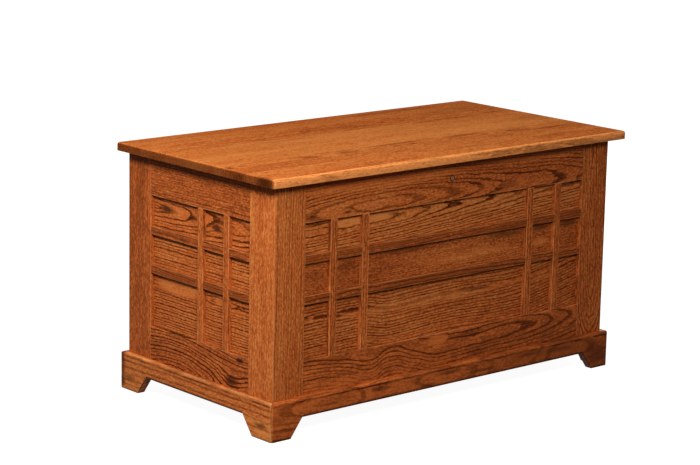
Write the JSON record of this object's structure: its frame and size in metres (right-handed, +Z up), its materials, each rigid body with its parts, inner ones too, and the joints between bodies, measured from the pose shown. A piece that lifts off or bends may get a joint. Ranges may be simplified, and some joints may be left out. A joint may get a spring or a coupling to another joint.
{
  "type": "blanket chest",
  "caption": "Low oak chest with frame-and-panel walls, flat strips across the panels, a footed base and a hinged lid with stays and a lock.",
  "frame": {"origin": "on the floor, under the centre of the chest's bounding box, with the lid shut", "axes": "+X to the chest's right as seen from the front, along its length; +Y to the back; +Z up"},
  "size_m": [1.067, 0.5584, 0.5694],
  "materials": {
    "oak_stiles": "stained oak, upright grain, satin varnish",
    "oak_rails": "stained oak, level grain, satin varnish",
    "oak_panels": "stained oak, level grain, satin varnish",
    "oak_strips": "stained oak strips, satin varnish",
    "oak_base": "stained oak, level grain, satin varnish",
    "oak_lid": "stained oak boards, glued up, satin varnish",
    "oak_cleats": "stained oak, satin varnish",
    "oak_floor": "clear-coated oak plywood",
    "brass_hinges": "brushed brass, slightly aged",
    "brass_lock": "dull aged brass",
    "steel_stays": "plated steel strip",
    "steel_lock": "plated steel"
  },
  "bodies": {
    "carcass": {"front_stile_left": "oak_stiles", "front_stile_right": "oak_stiles", "front_rail_top": "oak_rails", "front_rail_bottom": "oak_rails", "front_panel": "oak_panels", "front_upright_strip_1": "oak_strips", "front_upright_strip_2": "oak_strips", "front_upright_strip_3": "oak_strips", "front_upright_strip_4": "oak_strips", "front_cross_strip_upper": "oak_strips", "front_cross_strip_lower": "oak_strips", "right_stile_left": "oak_stiles", "right_stile_right": "oak_stiles", "right_rail_top": "oak_rails", "right_rail_bottom": "oak_rails", "right_panel": "oak_panels", "right_upright_strip_1": "oak_strips", "right_upright_strip_2": "oak_strips", "right_cross_strip_upper": "oak_strips", "right_cross_strip_lower": "oak_strips", "back_stile_left": "oak_stiles", "back_stile_right": "oak_stiles", "back_rail_top": "oak_rails", "back_rail_bottom": "oak_rails", "back_panel": "oak_panels", "left_stile_left": "oak_stiles", "left_stile_right": "oak_stiles", "left_rail_top": "oak_rails", "left_rail_bottom": "oak_rails", "left_panel": "oak_panels", "left_upright_strip_1": "oak_strips", "left_upright_strip_2": "oak_strips", "left_cross_strip_upper": "oak_strips", "left_cross_strip_lower": "oak_strips", "front_base_board": "oak_base", "right_base_board": "oak_base", "back_base_board": "oak_base", "left_base_board": "oak_base", "floor_panel": "oak_floor", "hinge_leaf_body_left": "brass_hinges", "hinge_pin_left": "brass_hinges", "stay_plate_left": "steel_stays", "hinge_leaf_body_right": "brass_hinges", "hinge_pin_right": "brass_hinges", "stay_plate_right": "steel_stays", "lock_cylinder": "brass_lock", "lock_case": "steel_lock"},
    "lid": {"lid_panel": "oak_lid", "lid_cleat_left": "oak_cleats", "lid_cleat_right": "oak_cleats", "hinge_leaf_lid_left": "brass_hinges", "stay_bracket_left": "steel_stays", "hinge_leaf_lid_right": "brass_hinges", "stay_bracket_right": "steel_stays", "lock_strike": "steel_lock"},
    "stay_arm_left": {"stay_arm_left": "steel_stays"},
    "stay_arm_right": {"stay_arm_right": "steel_stays"},
    "lock_plug": {"lock_plug": "brass_lock"},
    "lock_bolt": {"lock_bolt": "steel_lock"}
  },
  "joints": [
    {"name": "lid_hinge", "type": "hinge", "parent": "carcass", "child": "lid", "pos_m": [0, 0.26965, 0.5502], "axis": [-1, 0, 0], "range_deg": [0, 95]},
    {"name": "stay_left_pivot", "type": "hinge", "parent": "lid", "child": "stay_arm_left", "pos_m": [-0.48, 0.09033, 0.53451], "axis": [-1, 0, 0], "range_deg": [-47.6, 0.1]},
    {"name": "stay_right_pivot", "type": "hinge", "parent": "lid", "child": "stay_arm_right", "pos_m": [0.48, 0.09033, 0.53451], "axis": [-1, 0, 0], "range_deg": [-47.6, 0.1]},
    {"name": "lock_turn", "type": "hinge", "parent": "carcass", "child": "lock_plug", "pos_m": [0, -0.24065, 0.511], "axis": [0, 1, 0], "range_deg": [0, 90.5]},
    {"name": "bolt_slide", "type": "slide", "parent": "carcass", "child": "lock_bolt", "axis": [1, 0, 0], "range_m": [0, 0.008]}
  ],
  "couplings": [
    {"joint": "stay_left_pivot", "follows": "lid_hinge", "ratio": -0.5},
    {"joint": "stay_right_pivot", "follows": "lid_hinge", "ratio": -0.5},
    {"joint": "lock_turn", "follows": "bolt_slide", "rad_per_m": 196.35}
  ]
}
